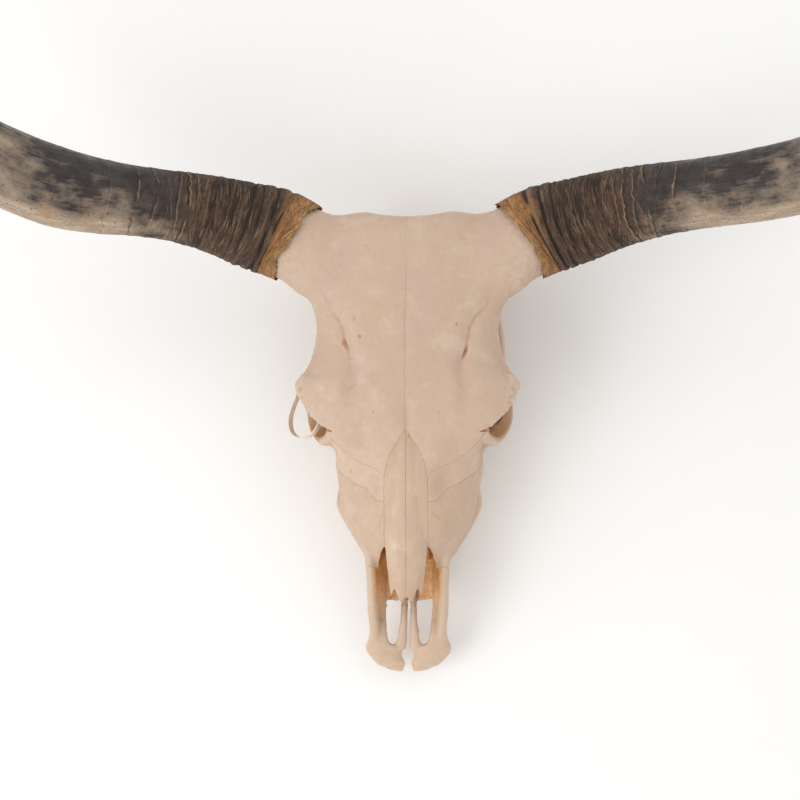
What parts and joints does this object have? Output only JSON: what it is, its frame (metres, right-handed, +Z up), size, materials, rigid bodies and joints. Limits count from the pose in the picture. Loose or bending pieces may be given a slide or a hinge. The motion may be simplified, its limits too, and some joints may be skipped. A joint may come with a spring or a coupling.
{
  "type": "bull skull",
  "caption": "Skull of a long-horned bull without its lower jaw, the horn sheaths on their bony cores, a thin plastic band looped at one eye, lying as it rests.",
  "frame": {"origin": "on the floor, under the centre of the bounding box", "axes": "+Z up; +X toward the animal's left horn, along the spread of the horns; the nose points to -Y"},
  "size_m": [1.3902, 0.6326, 0.5031],
  "materials": {
    "bone": "dry cleaned bone, satin",
    "bone_pale": "dry cleaned bone, paler and smoother, satin",
    "bone_with_teeth": "dry bone with worn cheek teeth, satin",
    "horn": "natural horn, rough and ridged at the base, smooth outward",
    "band": "thin cream plastic band"
  },
  "bodies": {
    "root": {"frontal_left": "bone", "frontal_right": "bone", "nasal_left": "bone_pale", "nasal_right": "bone_pale", "lacrimal_left": "bone", "lacrimal_right": "bone", "zygomatic_left": "bone", "zygomatic_right": "bone", "maxilla_left": "bone_with_teeth", "maxilla_right": "bone_with_teeth", "incisive_left": "bone_pale", "incisive_right": "bone_pale", "temporal_left": "bone", "temporal_right": "bone", "occipital": "bone", "sphenoid_palatine": "bone", "horn_sheath_left": "horn", "horn_sheath_right": "horn", "plastic_band": "band"}
  },
  "joints": []
}
